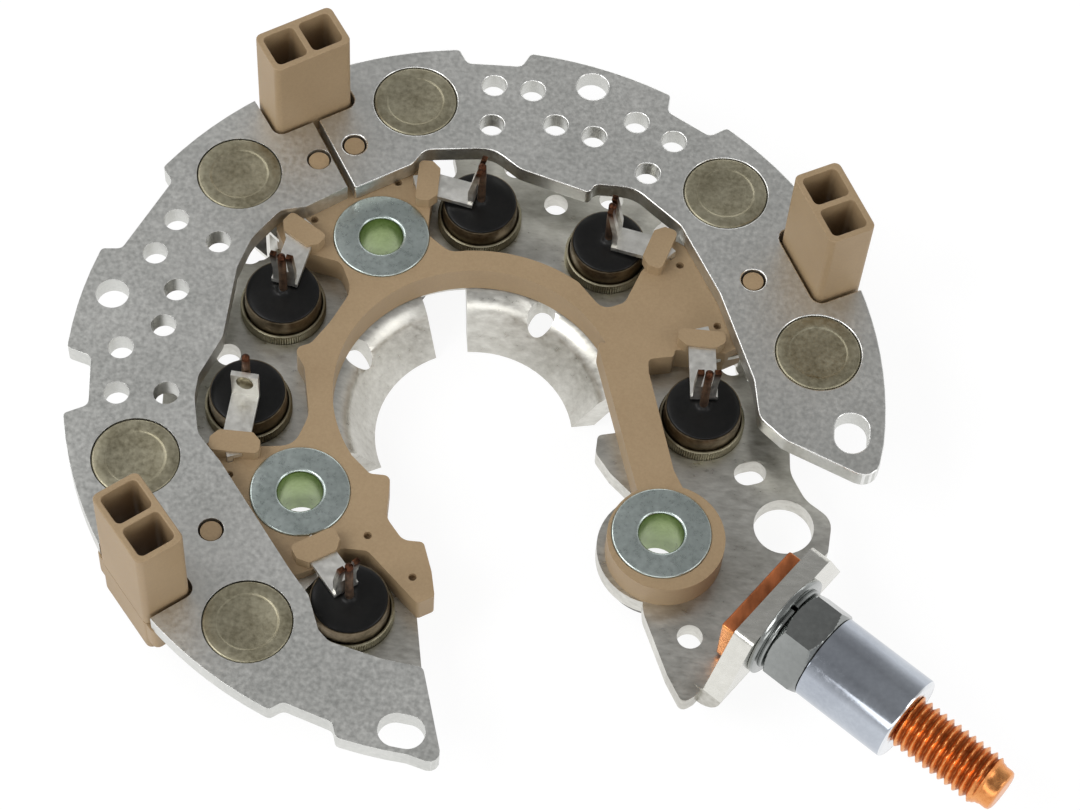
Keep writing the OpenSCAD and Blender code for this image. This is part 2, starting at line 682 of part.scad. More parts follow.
earth_fin(-1);  // earth_fin_left
earth_fin(1);  // earth_fin_right
plus_fin();
terminal_block();
wire_guide(0);  // wire_guide_upper
wire_guide(1);  // wire_guide_right
wire_guide(2);  // wire_guide_left
for (k = [0:5]) {
    on_earth(k) diode_case(earth_t);
    on_earth(k) diode_resin(earth_t);
    on_earth(k) diode_lead(earth_t, earth_lead_l);
    on_plus(k) diode_case(plus_t);
    on_plus(k) diode_resin(plus_t);
    on_plus(k) diode_lead(plus_t, lead_l);
    phase_strip(k);
}
eyelet(0);  // eyelet_upper
eyelet(1);  // eyelet_left
eyelet(2);  // eyelet_output
insulator(0);  // insulator_upper
insulator(1);  // insulator_left
insulator(2);  // insulator_output
output_stud();
stud_washer();
sleeve_nut();
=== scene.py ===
import json
import math

import bmesh
import bpy
from mathutils import Matrix, Vector, noise


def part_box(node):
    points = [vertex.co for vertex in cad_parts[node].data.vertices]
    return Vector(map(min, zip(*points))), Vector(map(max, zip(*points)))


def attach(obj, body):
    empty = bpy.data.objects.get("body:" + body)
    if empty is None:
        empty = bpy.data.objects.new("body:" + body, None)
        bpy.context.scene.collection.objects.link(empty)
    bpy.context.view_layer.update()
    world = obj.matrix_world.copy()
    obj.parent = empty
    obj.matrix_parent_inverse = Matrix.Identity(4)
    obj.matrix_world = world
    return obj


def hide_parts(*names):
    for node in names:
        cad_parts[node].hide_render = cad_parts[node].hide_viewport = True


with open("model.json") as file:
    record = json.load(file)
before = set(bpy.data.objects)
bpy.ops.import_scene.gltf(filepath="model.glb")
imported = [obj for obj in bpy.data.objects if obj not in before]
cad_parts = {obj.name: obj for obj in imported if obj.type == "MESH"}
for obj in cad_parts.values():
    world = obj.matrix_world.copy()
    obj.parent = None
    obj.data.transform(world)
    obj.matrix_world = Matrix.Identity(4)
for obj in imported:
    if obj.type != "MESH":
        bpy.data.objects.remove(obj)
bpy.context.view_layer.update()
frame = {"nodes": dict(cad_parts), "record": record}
nodes = frame["nodes"]
mm = 0.001

# The camera stands where the photo's camera stood, found from the diodes, the eyelets and the guides
camera = {
    "place": (9.43, -227.09, 401.60),
    "right": (0.99558, 0.08118, 0.04723),
    "down": (0.09392, -0.86055, -0.50064),
    "forward": (0.0, 0.50286, -0.86437),
    "lens": 102.555,
}


def makeCamera():
    data = bpy.data.cameras.new("camera")
    data.sensor_width = 36
    data.lens = camera["lens"]
    data.clip_start = 0.01
    data.clip_end = 20
    obj = bpy.data.objects.new("camera", data)
    right, down, forward = (Vector(camera[key]).normalized() for key in ("right", "down", "forward"))
    turn = Matrix((right, -down, -forward)).transposed()
    obj.matrix_world = Matrix.Translation(Vector(camera["place"]) * mm) @ turn.to_4x4()
    bpy.context.scene.collection.objects.link(obj)
    bpy.context.scene.camera = obj


makeCamera()
print("camera done")


# Materials

def newMaterial(name):
    mat = bpy.data.materials.new(name)
    mat.use_nodes = True
    return mat, mat.node_tree.nodes, mat.node_tree.links


def placeOn(nodesOf, links, stretch=(1, 1, 1), turn=0.0):
    coords = nodesOf.new("ShaderNodeTexCoord")
    mapping = nodesOf.new("ShaderNodeMapping")
    mapping.inputs["Scale"].default_value = stretch
    mapping.inputs["Rotation"].default_value = (0, 0, math.radians(turn))
    links.new(coords.outputs["Object"], mapping.inputs["Vector"])
    return mapping.outputs["Vector"]


def noiseOn(nodesOf, links, where, scale, detail=4.0, rough=0.5):
    tex = nodesOf.new("ShaderNodeTexNoise")
    tex.inputs["Scale"].default_value = scale
    tex.inputs["Detail"].default_value = detail
    tex.inputs["Roughness"].default_value = rough
    links.new(where, tex.inputs["Vector"])
    return tex.outputs["Fac"]


def rampOn(nodesOf, links, factor, stops):
    ramp = nodesOf.new("ShaderNodeValToRGB")
    while len(ramp.color_ramp.elements) < len(stops):
        ramp.color_ramp.elements.new(0.5)
    for element, (place, color) in zip(ramp.color_ramp.elements, stops):
        element.position = place
        element.color = (*color, 1)
    links.new(factor, ramp.inputs["Fac"])
    return ramp.outputs["Color"]


def rangeOn(nodesOf, links, value, low, high, start=0.3, end=0.7):
    node = nodesOf.new("ShaderNodeMapRange")
    node.inputs["From Min"].default_value = start
    node.inputs["From Max"].default_value = end
    node.inputs["To Min"].default_value = low
    node.inputs["To Max"].default_value = high
    links.new(value, node.inputs["Value"])
    return node.outputs["Result"]


def mixOn(nodesOf, links, factor, first, second, blend="MIX"):
    mix = nodesOf.new("ShaderNodeMix")
    mix.data_type = "RGBA"
    mix.blend_type = blend
    if isinstance(factor, float):
        mix.inputs["Factor"].default_value = factor
    else:
        links.new(factor, mix.inputs["Factor"])
    links.new(first, mix.inputs["A"])
    links.new(second, mix.inputs["B"])
    return mix.outputs["Result"]


def finish(name, look):
    mat, nodesOf, links = newMaterial(name)
    shader = nodesOf["Principled BSDF"]
    shader.inputs["Metallic"].default_value = look["metallic"]
    where = placeOn(nodesOf, links)
    patches = noiseOn(nodesOf, links, where, look["patch"], detail=5)
    along = placeOn(nodesOf, links, look.get("stretch", (1, 1, 1)), look.get("turn", 0))
    grain = noiseOn(nodesOf, links, along, look["grain"], detail=6, rough=0.6)
    dark, light = look["dark"], look["light"]
    tone = rampOn(nodesOf, links, patches, [(0.34, dark), (0.66, light)])
    fine = rampOn(nodesOf, links, grain, [(0.32, dark), (0.7, light)])
    color = mixOn(nodesOf, links, look.get("fineShare", 0.45), tone, fine)
    if "burnt" in look:
        height = nodesOf.new("ShaderNodeSeparateXYZ")
        links.new(where, height.inputs["Vector"])
        low, high = look["burntFrom"]
        burnt = rangeOn(nodesOf, links, height.outputs["Z"], 0.0, 1.0, low * mm, high * mm)
        charred = rampOn(nodesOf, links, grain, [(0.35, look["burnt"][0]), (0.65, look["burnt"][1])])
        color = mixOn(nodesOf, links, burnt, color, charred)
    links.new(color, shader.inputs["Base Color"])
    links.new(rangeOn(nodesOf, links, grain, *look["rough"]), shader.inputs["Roughness"])
    bump = nodesOf.new("ShaderNodeBump")
    bump.inputs["Strength"].default_value = look["bump"]
    bump.inputs["Distance"].default_value = look.get("bumpDepth", 0.05) * mm
    links.new(grain, bump.inputs["Height"])
    links.new(bump.outputs["Normal"], shader.inputs["Normal"])
    for socket, value in look.get("sockets", {}).items():
        shader.inputs[socket].default_value = value
    return mat


finAluminium = {
    "metallic": 1.0, "dark": (0.55, 0.555, 0.53), "light": (0.78, 0.78, 0.75), "rough": (0.32, 0.48),
    "patch": 70, "grain": 1500, "fineShare": 0.55, "bump": 0.35, "bumpDepth": 0.04,
}
# Lighter, glossier copy of the fin aluminium for the rounded edges: a painted highlight along the edges
finPaintedHighlight = dict(finAluminium, dark=(0.78, 0.78, 0.76), light=(0.92, 0.92, 0.9), rough=(0.2, 0.32))
plusPlate = {
    "metallic": 1.0, "dark": (0.4, 0.385, 0.34), "light": (0.8, 0.79, 0.74), "rough": (0.26, 0.42),
    "patch": 90, "grain": 1000, "stretch": (0.5, 1.3, 1), "turn": 60, "fineShare": 0.5,
    "bump": 0.4, "bumpDepth": 0.05,
}
# Lighter copy of the plus fin metal for its rounded edges and its flange: a painted highlight
plusPaintedHighlight = dict(plusPlate, dark=(0.66, 0.65, 0.6), light=(0.84, 0.83, 0.78), rough=(0.2, 0.32))
mouldedTan = {
    "metallic": 0.0, "dark": (0.31, 0.215, 0.118), "light": (0.39, 0.28, 0.162), "rough": (0.46, 0.62),
    "patch": 90, "grain": 2600, "fineShare": 0.6, "bump": 0.25, "bumpDepth": 0.04,
}
diodeNickel = {
    "metallic": 1.0, "dark": (0.24, 0.215, 0.14), "light": (0.46, 0.43, 0.32), "rough": (0.36, 0.56),
    "patch": 240, "grain": 1400, "fineShare": 0.5, "bump": 0.45, "bumpDepth": 0.05,
}
diodeBronze = {
    "metallic": 1.0, "dark": (0.11, 0.084, 0.054), "light": (0.3, 0.245, 0.165), "rough": (0.28, 0.46),
    "patch": 260, "grain": 1400, "fineShare": 0.5, "bump": 0.3, "bumpDepth": 0.04,
}
diodeResin = {
    "metallic": 0.0, "dark": (0.004, 0.004, 0.004), "light": (0.009, 0.0088, 0.0085), "rough": (0.3, 0.42),
    "patch": 200, "grain": 1800, "fineShare": 0.4, "bump": 0.12, "bumpDepth": 0.05,
    "sockets": {"Specular IOR Level": 0.22},
}
leadCopper = {
    "metallic": 1.0, "dark": (0.1, 0.065, 0.045), "light": (0.3, 0.2, 0.14), "rough": (0.38, 0.6),
    "patch": 400, "grain": 1600, "bump": 0.4,
    "burnt": [(0.02, 0.011, 0.008), (0.13, 0.05, 0.026)], "burntFrom": (20.4, 22.4),
}
stripTinned = {
    "metallic": 1.0, "dark": (0.7, 0.69, 0.64), "light": (0.94, 0.93, 0.89), "rough": (0.3, 0.5),
    "patch": 260, "grain": 1100, "bump": 0.3, "bumpDepth": 0.04,
    "burnt": [(0.025, 0.013, 0.009), (0.19, 0.08, 0.04)], "burntFrom": (20.2, 22.6),
}
stripPlain = {key: value for key, value in stripTinned.items() if key not in ("burnt", "burntFrom")}
solderOlive = {
    "metallic": 0.9, "dark": (0.14, 0.12, 0.07), "light": (0.3, 0.27, 0.18), "rough": (0.3, 0.5),
    "patch": 500, "grain": 1800, "bump": 0.4,
}
eyeletZinc = {
    "metallic": 1.0, "dark": (0.4, 0.46, 0.44), "light": (0.6, 0.67, 0.65), "rough": (0.24, 0.38),
    "patch": 160, "grain": 1500, "fineShare": 0.5, "bump": 0.25, "bumpDepth": 0.03,
}
eyeletBore = {
    "metallic": 1.0, "dark": (0.18, 0.25, 0.09), "light": (0.44, 0.55, 0.27), "rough": (0.26, 0.38),
    "patch": 120, "grain": 1200, "bump": 0.1,
}
insulatorGrey = {
    "metallic": 0.0, "dark": (0.16, 0.155, 0.145), "light": (0.23, 0.22, 0.205), "rough": (0.45, 0.6),
    "patch": 160, "grain": 2200, "bump": 0.2,
}
studCopper = {
    "metallic": 1.0, "dark": (0.62, 0.21, 0.06), "light": (0.92, 0.43, 0.16), "rough": (0.2, 0.36),
    "patch": 320, "grain": 1600, "bump": 0.3, "bumpDepth": 0.04,
}
# Darker copy of the stud copper for the faces deep in the thread: painted shade in the grooves
threadRootShade = dict(studCopper, dark=(0.34, 0.11, 0.034), light=(0.62, 0.235, 0.08), rough=(0.34, 0.52))
headCopper = {
    "metallic": 1.0, "dark": (0.25, 0.08, 0.033), "light": (0.66, 0.23, 0.09), "rough": (0.4, 0.62),
    "patch": 220, "grain": 700, "stretch": (1, 0.3, 1), "turn": -35.7, "bump": 0.6, "bumpDepth": 0.08,
}
zincSteel = {
    "metallic": 1.0, "dark": (0.24, 0.25, 0.245), "light": (0.38, 0.395, 0.385), "rough": (0.14, 0.26),
    "patch": 60, "grain": 1300, "fineShare": 0.3, "bump": 0.12, "bumpDepth": 0.03,
}
# Lighter copy of the nut's zinc for its foot, its bore and the sleeve's end and chamfers: a painted highlight
zincPaintedHighlight = dict(zincSteel, dark=(0.72, 0.74, 0.76), light=(0.85, 0.87, 0.9))
sleeveZinc = dict(zincSteel, dark=(0.4, 0.43, 0.485), light=(0.56, 0.6, 0.66), rough=(0.09, 0.16))

looks = {
    "finAluminium": finAluminium, "finPaintedHighlight": finPaintedHighlight, "plusPlate": plusPlate, "plusPaintedHighlight": plusPaintedHighlight,
    "mouldedTan": mouldedTan, "diodeNickel": diodeNickel, "diodeBronze": diodeBronze,
    "diodeResin": diodeResin, "leadCopper": leadCopper, "stripTinned": stripTinned, "stripPlain": stripPlain,
    "solderOlive": solderOlive,
    "eyeletZinc": eyeletZinc, "eyeletBore": eyeletBore, "insulatorGrey": insulatorGrey,
    "studCopper": studCopper, "threadRootShade": threadRootShade, "headCopper": headCopper,
    "zincSteel": zincSteel, "zincPaintedHighlight": zincPaintedHighlight, "sleeveZinc": sleeveZinc,
}
materials = {name: finish(name, look) for name, look in looks.items()}

slotMaterial = {
    "earth_fin": "finAluminium", "plus_fin": "plusPlate", "moulding": "mouldedTan",
    "diode_case": "diodeNickel", "diode_resin": "diodeResin", "diode_lead": "leadCopper",
    "phase_strip": "stripPlain", "eyelet": "eyeletZinc",
    "insulator": "insulatorGrey", "stud": "studCopper", "zinc_steel": "zincSteel",
}
slotOf = {entry["node"]: entry["material_slot"] for entry in frame["record"]["subparts"]}
for name, obj in nodes.items():
    obj.data.materials.clear()
    obj.data.materials.append(materials[slotMaterial[slotOf[name]]])
print("materials done")


# Ways of making a piece

def addPiece(name, mesh, mats, stands):
    obj = bpy.data.objects.new(name, mesh)
    bpy.context.scene.collection.objects.link(obj)
    # Clearing the materials would set every face back to the first one
    paints = [face.material_index for face in mesh.polygons]
    mesh.materials.clear()
    for mat in mats:
        mesh.materials.append(materials[mat])
    mesh.polygons.foreach_set("material_index", paints)
    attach(obj, "root")
    if stands:
        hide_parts(*stands)
    return obj


# A node's own shape, welded into whole faces, with its edges rounded off
def roundedCopy(node, width, mats, segments=2, angle=26, edgeMaterial=0):
    mesh = nodes[node].data.copy()
    form = bmesh.new()
    form.from_mesh(mesh)
    bmesh.ops.remove_doubles(form, verts=form.verts, dist=2e-7)
    bmesh.ops.dissolve_limit(form, angle_limit=math.radians(0.8), verts=form.verts, edges=form.edges)
    for face in form.faces:
        face.smooth = True
        face.material_index = 0
    form.to_mesh(mesh)
    form.free()
    obj = bpy.data.objects.new(node + "_draft", mesh)
    bpy.context.scene.collection.objects.link(obj)
    for mat in mats:
        mesh.materials.append(materials[mat])
    bevel = obj.modifiers.new("edges", "BEVEL")
    bevel.width = width * mm
    bevel.segments = segments
    bevel.limit_method = "ANGLE"
    bevel.angle_limit = math.radians(angle)
    bevel.use_clamp_overlap = True
    bevel.loop_slide = False
    bevel.material = edgeMaterial
    bevel.miter_outer = "MITER_ARC"
    weighted = obj.modifiers.new("shading", "WEIGHTED_NORMAL")
    weighted.keep_sharp = True
    weighted.weight = 100
    view = bpy.context.evaluated_depsgraph_get()
    done = bpy.data.meshes.new_from_object(obj.evaluated_get(view), depsgraph=view)
    bpy.data.objects.remove(obj)
    return addPiece(node + "_body", done, mats, [node])


# A turned shape about Z: rings of (radius, height, material), each radius bent by its place around the axis
def turned(rings, steps, shape=None, closed=True):
    form = bmesh.new()
    loops = []
    for index, ring in enumerate(rings):
        radius, height = ring[0] * mm, ring[1] * mm
        if radius < 1e-9:
            loops.append([form.verts.new((0, 0, height))])
            continue
        loop = []
        for step in range(steps):
            turn = 2 * math.pi * step / steps
            r = radius + (shape(index, step, turn) * mm if shape else 0)
            loop.append(form.verts.new((r * math.cos(turn), r * math.sin(turn), height)))
        loops.append(loop)
    pairs = list(zip(loops, loops[1:]))
    if closed and len(loops[0]) > 1 and len(loops[-1]) > 1:
        pairs.append((loops[-1], loops[0]))
    for number, (low, high) in enumerate(pairs):
        paint = rings[number][2] if len(rings[number]) > 2 else 0
        for step in range(steps):
            after = (step + 1) % steps
            foot = [low[step % len(low)], low[after % len(low)]]
            head = [high[after % len(high)], high[step % len(high)]]
            corners = list(dict.fromkeys(foot + head))
            if len(corners) > 2:
                face = form.faces.new(corners)
                face.material_index = paint
                face.smooth = True
    bmesh.ops.recalc_face_normals(form, faces=form.faces)
    return form


def sharpEdges(form, angle=40):
    return [edge for edge in form.edges if edge.is_manifold and edge.calc_face_angle(0) > math.radians(angle)]


def softShade(form, angle):
    for edge in sharpEdges(form, angle):
        edge.smooth = False


def toMesh(form, name):
    mesh = bpy.data.meshes.new(name)
    form.to_mesh(mesh)
    form.free()
    return mesh


# A wire through points, with its own radius at each of them and closed ends
def wire(form, points, radii, steps=20, paint=0):
    rings = []
    side = Vector((1, 0, 0))
    for index, (point, radius) in enumerate(zip(points, radii)):
        before = Vector(points[max(index - 1, 0)])
        after = Vector(points[min(index + 1, len(points) - 1)])
        way = (after - before).normalized()
        side = (side - way * side.dot(way)).normalized()
        up = way.cross(side)
        wide, thick = radius if isinstance(radius, tuple) else (radius, radius)
        ring = []
        for step in range(steps):
            turn = 2 * math.pi * step / steps
            spot = Vector(point) + side * wide * math.cos(turn) + up * thick * math.sin(turn)
            ring.append(form.verts.new(spot * mm))
        rings.append(ring)
    for low, high in zip(rings, rings[1:]):
        for step in range(steps):
            after = (step + 1) % steps
            face = form.faces.new((low[step], low[after], high[after], high[step]))
            face.smooth = True
            face.material_index = paint
    form.faces.new(rings[0][::-1]).material_index = paint
    form.faces.new(rings[-1]).material_index = paint


def roundEnd(point, way, radius, count=4):
    ends = []
    for k in range(1, count + 1):
        lean = math.pi / 2 * k / count
        ends.append((Vector(point) + Vector(way) * radius * math.sin(lean), radius * math.cos(lean * 0.96)))
    return ends


print("tools done")


# Cooling fins

finEdges = {"earth": 0.42, "plus": 0.38}
# The fins' rounded edges, and the plus fin's flange above this level, take a lighter copy of the metal: a
# painted highlight
flangeHighlightFrom = 9.2
for node in ("earth_fin_left", "earth_fin_right"):
    roundedCopy(node, finEdges["earth"], ["finAluminium", "finPaintedHighlight"], segments=3, edgeMaterial=1)
plusFin = roundedCopy("plus_fin", finEdges["plus"], ["plusPlate", "plusPaintedHighlight"], angle=32, edgeMaterial=1)
for face in plusFin.data.polygons:
    if face.center.z / mm > flangeHighlightFrom:
        face.material_index = 1
print("fins done")


# Terminal block and what it carries

blockEdges = {"block": 0.22, "insulator": 0.35, "strip": 0.12}
roundedCopy("terminal_block", blockEdges["block"], ["mouldedTan"], angle=30)
for side in ("upper", "right", "left"):
    roundedCopy("wire_guide_" + side, blockEdges["block"], ["mouldedTan"], angle=30)
for side in ("upper", "left", "output"):
    roundedCopy("insulator_" + side, blockEdges["insulator"], ["insulatorGrey"])
for number in range(1, 7):
    roundedCopy("phase_strip_%d" % number, blockEdges["strip"], ["stripTinned"], angle=20)
print("block done")

# Drop of solder on the back of the one plain tab
solder = {"place": (-33.2, -5.08, 18.3), "way": 86.5, "radius": 1.3, "height": 0.55, "uneven": 0.12}


def makeSolder():
    rings = [(0, solder["height"])]
    for k in range(1, 9):
        lean = math.pi / 2 * k / 8
        rings.append((solder["radius"] * math.sin(lean), solder["height"] * math.cos(lean)))
    rings.append((solder["radius"] * 0.94, -0.15))
    rings.append((0, -0.2))

    def uneven(index, step, turn):
        return solder["uneven"] * math.sin(turn * 2 + 0.6) if 2 < index < 10 else 0

    form = turned(rings, 40, uneven, closed=False)
    face = Matrix.Rotation(math.radians(solder["way"]), 4, "Z") @ Matrix.Rotation(math.radians(-90), 4, "Y")
    form.transform(Matrix.Translation(Vector(solder["place"]) * mm) @ face)
    addPiece("solder_spot", toMesh(form, "solder"), ["solderOlive"], [])


makeSolder()


# Diodes

diode = {
    "knurlDepth": 0.2, "teeth": 108, "knurl": 1.9, "cup": 4.6, "cupRadius": 5.6,
    "dome": 0.9, "faceStep": 4.3, "stepDepth": 0.14, "lead": 0.65, "plate": {"earth": 3.2, "plus": 3.0},
}


def diodeProfile(thick):
    band = thick + diode["knurl"]
    rim = thick + diode["cup"]
    step, depth, cup = diode["faceStep"], diode["stepDepth"], diode["cupRadius"]
    return [
        (0, depth), (step - 0.22, depth), (step - 0.06, depth - 0.04), (step + 0.06, 0.02), (step + 0.2, 0),
        (5.95, 0), (6.12, 0.05), (6.3, 0.2), (6.4, 0.34), (6.4, band - 0.3), (6.3, band - 0.12),
        (6.12, band - 0.01), (6.02, band), (5.93, band - 0.03, 1), (5.86, band - 0.5, 1),
        (5.76, band - 0.6, 1), (5.72, band - 0.4, 1),
        (5.7, band + 0.5, 1), (cup + 0.02, rim - 0.12, 1), (cup - 0.04, rim - 0.02, 1), (cup - 0.16, rim, 1),
        (cup - 0.32, rim - 0.1, 1), (cup - 0.35, band, 1), (cup - 0.4, band - 0.55, 1), (0, band - 0.6, 1)
    ]


def knurled(index, step, turn):
    if 8 <= index <= 9:
        return -diode["knurlDepth"] if step % 2 else 0
    if index in (7, 10):
        return -diode["knurlDepth"] * 0.4 if step % 2 else 0
    return 0


def makeCase(node, thick, earth):
    form = turned(diodeProfile(thick), diode["teeth"] * 2, knurled, closed=False)
    softShade(form, 42)
    place(form, node, earth)
    addPiece(node + "_body", toMesh(form, node), ["diodeNickel", "diodeBronze"], [node])


def place(form, node, earth):
    low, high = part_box(node)
    middle = (low + high) / 2
    start = caseStart[node[-1], earth]
    if earth:
        for vert in form.verts:
            vert.co.z = -vert.co.z
        for face in form.faces:
            face.normal_flip()
    bmesh.ops.translate(form, verts=form.verts, vec=(middle.x, middle.y, start))


# Level of each diode's outer face, and the diodes' axes, read from the cases
caseStart = {}
for number in "123456":
    caseStart[number, True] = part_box("earth_diode_case_" + number)[1].z
    caseStart[number, False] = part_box("plus_diode_case_" + number)[0].z


def makeResin(node, thick, earth):
    rim = thick + diode["cup"]
    top = rim - 0.3 + diode["dome"]
    rings = [
        (5.2, rim - 1.2), (5.24, rim - 0.1), (5.34, rim + 0.02), (5.4, rim + 0.08), (5.36, rim + 0.16),
        (5.2, rim + 0.24), (4.7, top - 0.24), (3.9, top - 0.13), (2.8, top - 0.05), (1.8, top),
        (1.25, top + 0.06), (0.95, top + 0.2), (0.78, top + 0.42), (0.64, top + 0.6), (0.5, top + 0.62),
        (0.5, rim - 1.2)
    ]
    seed = ord(node[-1]) * 1.7

    def uneven(index, step, turn):
        if index < 9 or index > 13:
            return 0
        return 0.06 * noise.noise(Vector((math.cos(turn) * 1.5 + seed, math.sin(turn) * 1.5, index * 0.4)))

    form = turned(rings, 72, uneven)
    softShade(form, 60)
    place(form, node, earth)
    addPiece(node + "_body", toMesh(form, node), ["diodeResin"], [node])


def makeLead(node, earth):
    low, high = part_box(node)
    middle = (low + high) / 2 / mm
    reach = (high.z - low.z) / mm
    seed = ord(node[-1]) * 2.3
    form = bmesh.new()
    points, radii = [], []
    count = 15
    for k in range(count):
        along = k / (count - 1)
        lift = reach * along - (0 if k < count - 1 else 0.35)
        bend = 0.1 * math.sin(along * math.pi)
        points.append((bend * math.cos(seed), bend * math.sin(seed), lift))
        swell = 0.02 * math.sin(seed + along * 9)
        radii.append(diode["lead"] - 0.03 + swell if k < count - 2 else (0.6, 0.56))
    for point, radius in roundEnd(points[-1], (0, 0, 1), 0.56):
        points.append(tuple(point - Vector((0, 0, 0.2))))
        radii.append(radius * 0.97)
    wire(form, points, radii)
    start = low.z if not earth else high.z
    if earth:
        for vert in form.verts:
            vert.co.z = -vert.co.z
        for face in form.faces:
            face.normal_flip()
    bmesh.ops.translate(form, verts=form.verts, vec=(middle.x * mm, middle.y * mm, start))
    addPiece(node + "_body", toMesh(form, node), ["leadCopper"], [node])


for number in "123456":
    for kind, thick in diode["plate"].items():
        earth = kind == "earth"
        makeCase("%s_diode_case_%s" % (kind, number), thick, earth)
        makeResin("%s_diode_resin_%s" % (kind, number), thick, earth)
        makeLead("%s_diode_lead_%s" % (kind, number), earth)
print("diodes done")


# Mounting eyelets

eyelet = {"bore": 3.2, "wall": 1.4, "flange": 7.2, "thick": 1.0}


def makeEyelet(node):
    low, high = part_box(node)
    middle = (low + high) / 2
    foot, top = low.z / mm, high.z / mm
    bore, tube = eyelet["bore"], eyelet["bore"] + eyelet["wall"]
    edge, under = eyelet["flange"], top - eyelet["thick"]
    rings = [
        (bore, foot + 0.25, 1), (bore, top - 0.55, 1), (bore + 0.06, top - 0.3), (bore + 0.22, top - 0.1),
        (bore + 0.42, top - 0.01), (bore + 0.6, top), (edge - 0.3, top), (edge - 0.12, top - 0.04),
        (edge - 0.02, top - 0.16), (edge, top - 0.3), (edge, under + 0.12), (edge - 0.1, under),
        (tube + 0.1, under), (tube, under - 0.1), (tube, foot + 0.2), (tube - 0.15, foot), (bore + 0.2, foot)
    ]
    form = turned(rings, 96)
    softShade(form, 40)
    bmesh.ops.translate(form, verts=form.verts, vec=(middle.x, middle.y, 0))
    addPiece(node + "_body", toMesh(form, node), ["eyeletZinc", "eyeletBore"], [node])


for side in ("upper", "left", "output"):
    makeEyelet("eyelet_" + side)
print("eyelets done")


# Output stud, washer and long nut

stud = {
    "angle": -35.7, "height": 13.7, "back": 53.8, "sleeveEnd": 79.1, "end": 95.4, "tip": 2.6,
    "tipRadius": 3.2, "radius": 4.0, "root": 3.3, "pitch": 1.25, "shadeUnder": 3.62, "shank": 3.7,
    "headThick": 2.2, "headHigh": 9.0, "headWide": 15.5,
}


def studFrame():
    turn = Matrix.Rotation(math.radians(stud["angle"]), 4, "Z") @ Matrix.Rotation(math.radians(90), 4, "Y")
    return Matrix.Translation((0, 0, stud["height"] * mm)) @ turn


# Depth of the thread at one place: 0 on the crest, 1 in the root
def threadDepth(along, turn):
    phase = (along / stud["pitch"] - turn / (2 * math.pi)) % 1.0
    slope = abs(phase - 0.5) * 2
    return 1 - min(1.0, max(0.0, (slope - 0.08) / 0.84))


def makeStud():
    free, last = stud["sleeveEnd"], stud["end"] - stud["tip"]
    start = free - 0.2
    rings = [(0, stud["back"] - 0.5), (stud["shank"], stud["back"] - 0.5), (stud["shank"], start)]
    count = int((last + 0.4 - start) / stud["pitch"] * 14)
    heights = [start + (last + 0.4 - start) * k / count for k in range(1, count + 1)]
    rings += [(stud["radius"], height) for height in heights]
    end, tip = stud["end"], stud["tipRadius"]
    rings += [
        (tip + 0.12, last + 0.75), (tip, last + 1.0), (tip, end - 0.6), (tip - 0.15, end - 0.25),
        (tip - 0.5, end - 0.04), (tip - 0.8, end), (0, end)
    ]

    def cut(index, step, turn):
        if index < 3 or index >= 3 + len(heights):
            return 0
        height = heights[index - 3]
        fade = min(1.0, max(0.0, (last + 0.35 - height) / 0.8))
        depth = threadDepth(height, turn) * (stud["radius"] - stud["root"])
        taper = max(0.0, height - (last - 0.3)) * 0.9
        return -max(depth * fade, min(taper, stud["radius"] - tip - 0.12))

    form = turned(rings, 72, cut, closed=False)
    softShade(form, 34)
    for face in form.faces:
        reach = sum(math.hypot(vert.co.x, vert.co.y) for vert in face.verts) / len(face.verts) / mm
        # Faces deep in the thread take the darker copy: painted shade
        if start < face.calc_center_median().z / mm < last and reach < stud["shadeUnder"]:
            face.material_index = 2
    form.transform(studFrame())
    return toMesh(form, "stud")


def makeHead():
    form = bmesh.new()
    bmesh.ops.create_grid(form, x_segments=12, y_segments=18, size=0.5)
    bmesh.ops.extrude_face_region(form, geom=form.faces[:])
    high, wide, thick = stud["headHigh"], stud["headWide"], stud["headThick"]
    for vert in form.verts:
        vert.co.x *= high * mm
        vert.co.y *= wide * mm
    corners = list(form.verts)
    for vert in corners[len(corners) // 2:]:
        vert.co.z += thick * mm
    bmesh.ops.recalc_face_normals(form, faces=form.faces)
    bmesh.ops.bevel(form, geom=sharpEdges(form), offset=0.35 * mm, segments=3, affect="EDGES", profile=0.5)
    for vert in form.verts:
        rough = 0.07 * noise.noise(vert.co * 900)
        vert.co.z = min(max(vert.co.z, 0), thick * mm)
        vert.co.x += (rough - 0.04) * mm * (1 if vert.co.x > 0 else -1)
    for face in form.faces:
        face.smooth = True
    softShade(form, 45)
    form.transform(studFrame() @ Matrix.Translation((0, 0, (stud["back"] - thick) * mm)))
    return toMesh(form, "head")


def makeStudPiece():
    shaft, head = makeStud(), makeHead()
    form = bmesh.new()
    form.from_mesh(head)
    along = studFrame().to_3x3() @ Vector((0, 1, 0))
    for face in form.faces:
        face.material_index = 0 if abs(face.normal.dot(along)) > 0.35 else 1
    form.from_mesh(shaft)
    bmesh.ops.recalc_face_normals(form, faces=form.faces)
    paints = ["studCopper", "headCopper", "threadRootShade"]
    addPiece("output_stud_body", toMesh(form, "outputStud"), paints, ["output_stud"])


makeStudPiece()

nut = {
    "face": 58.5, "across": 13.0, "length": 6.0, "sleeve": 6.45, "end": stud["sleeveEnd"], "bore": 3.72,
    "chamfer": 0.95, "chamferIn": 0.32, "chamferSlope": 1.5,
}
washers = {"face": 57.0, "plain": (8.0, 0.85), "spring": (6.75, 0.6), "apart": 0.03, "bore": 4.2, "slit": 0.9}


